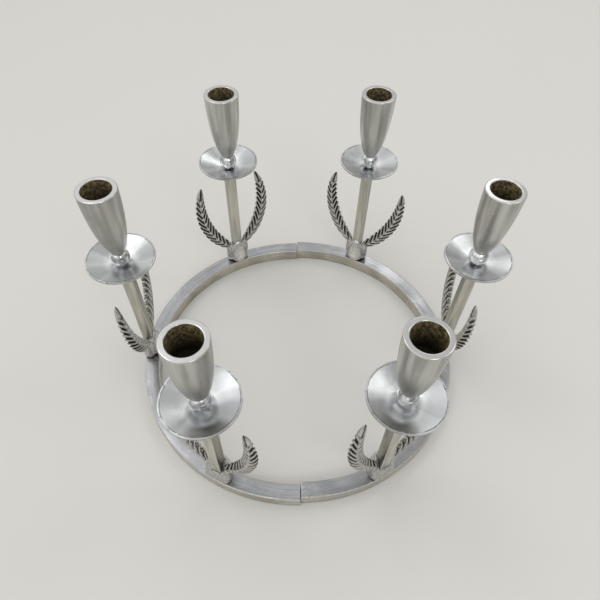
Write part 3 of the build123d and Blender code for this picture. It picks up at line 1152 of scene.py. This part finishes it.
class CANDLE_RING_OT_fasteners(bpy.types.Operator):
    """Give the studs and screws their steel"""

    bl_idname = "candle_ring.fasteners"
    bl_label = "Fasteners"

    def execute(self, context):
        names = [name + side for name in ("cup_studs_", "post_screws_") for side in ("left", "right")]
        dress(names, screw_steel(context.scene.candle_ring_finish))
        return {"FINISHED"}


class CANDLE_RING_OT_feet(bpy.types.Operator):
    """Cast the six feet with their leaf sprays"""

    bl_idname = "candle_ring.feet"
    bl_label = "Cast feet"

    def execute(self, context):
        sizes = context.scene.candle_ring_foot
        bar_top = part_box("half_ring_left")[1].z
        stem_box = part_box("stem_left")
        hub_skin = hub_shape(sizes, bar_top)
        material = cast_skin(context.scene.candle_ring_finish)
        for seed, (post, body) in enumerate(POSTS.items()):
            bends = TIP_BENDS[post]
            mesh = foot_shape(sizes, bar_top, stem_box, hub_skin, bends)
            if len(mesh.polygons) == 0:
                raise RuntimeError("the casting of " + post + " came out empty")
            mesh.name = "foot_casting_" + post
            keep_values(mesh, "groove", [groove_at(sizes, bar_top, vert.co, bends) for vert in mesh.vertices])
            # The smooth dome, which is rubbed smoother and gets a painted highlight.
            keep_values(mesh, "rubbed", [dome_polish_and_highlight(bar_top, vert.co) for vert in mesh.vertices])
            rough_skin(sizes, bar_top, mesh, seed)
            mesh.transform(post_frame(post))
            mesh.shade_smooth()
            mesh.materials.clear()
            mesh.materials.append(material)
            casting = linked("foot_casting_" + post, mesh)
            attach(casting, body)
            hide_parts("cast_foot_" + post)
        bpy.data.meshes.remove(hub_skin)
        return {"FINISHED"}


class CANDLE_RING_OT_stage(bpy.types.Operator):
    """Lay the floor and set the lights and the camera"""

    bl_idname = "candle_ring.stage"
    bl_label = "Stage"

    def execute(self, context):
        stage = context.scene.candle_ring_stage
        self.lay_floor(stage.floor_size / 2, floor_matte(context.scene.candle_ring_finish))
        for name, (spot, size) in PANELS.items():
            self.add_panel(name, spot, size, getattr(stage, name + "_power"))
        self.set_world(context.scene, stage)
        self.set_camera(context.scene, stage)
        context.scene.view_settings.view_transform = "Standard"
        return {"FINISHED"}

    def lay_floor(self, half, material):
        """A flat square under the ring."""
        corners = [(-half, -half, 0), (half, -half, 0), (half, half, 0), (-half, half, 0)]
        mesh = bpy.data.meshes.new("floor")
        mesh.from_pydata(corners, [], [(0, 1, 2, 3)])
        mesh.materials.append(material)
        linked("floor", mesh)

    def add_panel(self, name, spot, size, power):
        """A soft rectangular light that faces the middle of the ring."""
        lamp = bpy.data.lights.new(name, "AREA")
        lamp.shape = "RECTANGLE"
        lamp.size, lamp.size_y = size
        lamp.energy = power
        panel = linked(name, lamp)
        panel.location = spot
        panel.rotation_euler = (Vector(PANEL_AIM) - Vector(spot)).to_track_quat("-Z", "Y").to_euler()

    def set_world(self, scene, stage):
        """Even light from all sides, stronger from the left and darker towards the horizon."""
        world = bpy.data.worlds.new("studio")
        world.use_nodes = True
        tree = world.node_tree
        tree.nodes.clear()
        x, _, z = vector_parts(tree, coordinates(tree, "Generated"))
        colour = mix_colour(tree, smooth_step(tree, z, 0.05, 0.70), stage.sky_low, stage.sky_high)
        side = mix_colour(tree, smooth_step(tree, x, 0.55, -0.55), stage.sky_right, stage.sky_left)
        colour = mix_colour(tree, 1.0, colour, side, "MULTIPLY")
        light = place(tree, "ShaderNodeBackground", None, colour, stage.sky)
        place(tree, "ShaderNodeOutputWorld", None, light.outputs[0])
        scene.world = world

    def set_camera(self, scene, stage):
        """Camera above the front of the ring, looking down at it."""
        data = bpy.data.cameras.new("camera")
        data.sensor_width = stage.sensor
        data.lens = stage.lens
        data.clip_start = stage.nearest
        camera = linked("camera", data)
        turn = Matrix.Rotation(-stage.yaw, 4, "Z") @ Matrix.Rotation(math.pi / 2 - stage.pitch, 4, "X")
        camera.matrix_world = Matrix.Translation(stage.eye) @ turn @ Matrix.Rotation(stage.roll, 4, "Z")
        scene.camera = camera


OPERATORS = (
    CANDLE_RING_OT_bars,
    CANDLE_RING_OT_stems,
    CANDLE_RING_OT_pans,
    CANDLE_RING_OT_beads,
    CANDLE_RING_OT_cups,
    CANDLE_RING_OT_fasteners,
    CANDLE_RING_OT_feet,
    CANDLE_RING_OT_stage,
)

SETTINGS = {
    "candle_ring_foot": CastFootSizes,
    "candle_ring_finish": FinishColours,
    "candle_ring_stage": StageSettings,
}


class CANDLE_RING_PT_panel(bpy.types.Panel):
    """Sizes, colours and steps of the candle ring"""

    bl_idname = "CANDLE_RING_PT_panel"
    bl_label = "Candle Ring"
    bl_space_type = "VIEW_3D"
    bl_region_type = "UI"
    bl_category = "Candle Ring"

    def draw(self, context):
        for operator in OPERATORS:
            self.layout.operator(operator.bl_idname)
        for group, settings in SETTINGS.items():
            box = self.layout.box()
            for name in settings.__annotations__:
                box.prop(getattr(context.scene, group), name)


def register():
    """Adds the settings, the operators and the panel to Blender."""
    for settings in SETTINGS.values():
        bpy.utils.register_class(settings)
    for operator in OPERATORS:
        bpy.utils.register_class(operator)
    bpy.utils.register_class(CANDLE_RING_PT_panel)
    for name, settings in SETTINGS.items():
        setattr(bpy.types.Scene, name, PointerProperty(type=settings))


def unregister():
    """Takes them out again."""
    for name in SETTINGS:
        delattr(bpy.types.Scene, name)
    bpy.utils.unregister_class(CANDLE_RING_PT_panel)
    for operator in reversed(OPERATORS):
        bpy.utils.unregister_class(operator)
    for settings in reversed(SETTINGS.values()):
        bpy.utils.unregister_class(settings)


def main():
    """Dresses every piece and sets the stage."""
    register()
    bpy.ops.candle_ring.bars()
    bpy.ops.candle_ring.stems()
    bpy.ops.candle_ring.pans()
    bpy.ops.candle_ring.beads()
    bpy.ops.candle_ring.cups()
    bpy.ops.candle_ring.fasteners()
    bpy.ops.candle_ring.feet()
    bpy.ops.candle_ring.stage()


if __name__ == "__main__":
    main()
